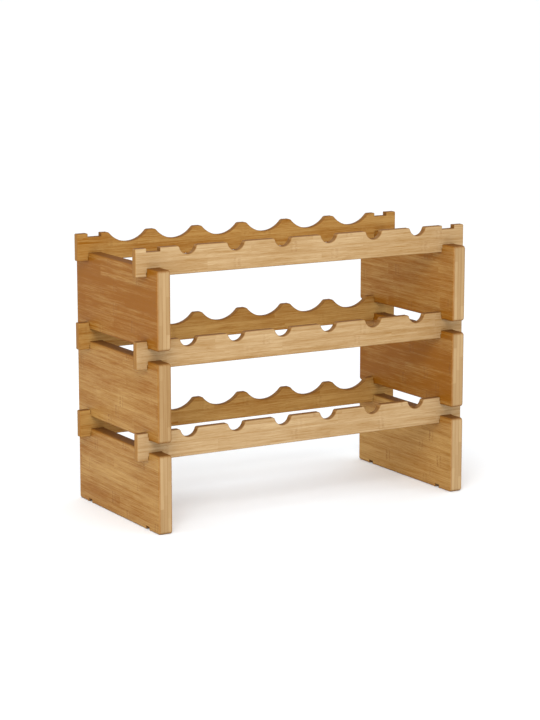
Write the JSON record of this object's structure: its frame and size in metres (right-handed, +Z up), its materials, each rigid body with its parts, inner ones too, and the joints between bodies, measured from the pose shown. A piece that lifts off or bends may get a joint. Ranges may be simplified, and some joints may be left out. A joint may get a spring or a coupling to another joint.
{
  "type": "stackable wine rack",
  "caption": "Free-standing stacked bamboo wine rack: side panels and scalloped front and back rails slot together with lap joints and hold bottles lying down.",
  "frame": {"origin": "on the floor, under the middle of the rack", "axes": "+X to the right along the rails, +Y from the front (necks) to the back (bottle bases), +Z up"},
  "size_m": [0.6, 0.28, 0.4375],
  "materials": {
    "bamboo_panel": "satin clear coat over golden brown laminated bamboo",
    "bamboo_rail": "satin clear coat over light honey laminated bamboo"
  },
  "bodies": {
    "tier_1_sides": {"side_panel_left_1": "bamboo_panel", "side_panel_right_1": "bamboo_panel"},
    "tier_1_rails": {"front_rail_1": "bamboo_rail", "back_rail_1": "bamboo_rail"},
    "tier_2_sides": {"side_panel_left_2": "bamboo_panel", "side_panel_right_2": "bamboo_panel"},
    "tier_2_rails": {"front_rail_2": "bamboo_rail", "back_rail_2": "bamboo_rail"},
    "tier_3_sides": {"side_panel_left_3": "bamboo_panel", "side_panel_right_3": "bamboo_panel"},
    "tier_3_front_rail": {"front_rail_3": "bamboo_rail"},
    "tier_3_back_rail": {"back_rail_3": "bamboo_rail"}
  },
  "joints": [
    {"name": "tier_1_rails_lift", "type": "slide", "parent": "tier_1_sides", "child": "tier_1_rails", "axis": [0, 0, 1], "range_m": [0, 0.04]},
    {"name": "tier_2_sides_lift", "type": "slide", "parent": "tier_1_rails", "child": "tier_2_sides", "axis": [0, 0, 1], "range_m": [0, 0.04]},
    {"name": "tier_2_rails_lift", "type": "slide", "parent": "tier_2_sides", "child": "tier_2_rails", "axis": [0, 0, 1], "range_m": [0, 0.04]},
    {"name": "tier_3_sides_lift", "type": "slide", "parent": "tier_2_rails", "child": "tier_3_sides", "axis": [0, 0, 1], "range_m": [0, 0.04]},
    {"name": "tier_3_front_rail_lift", "type": "slide", "parent": "tier_3_sides", "child": "tier_3_front_rail", "axis": [0, 0, 1], "range_m": [0, 0.04]},
    {"name": "tier_3_back_rail_lift", "type": "slide", "parent": "tier_3_sides", "child": "tier_3_back_rail", "axis": [0, 0, 1], "range_m": [0, 0.04]}
  ]
}
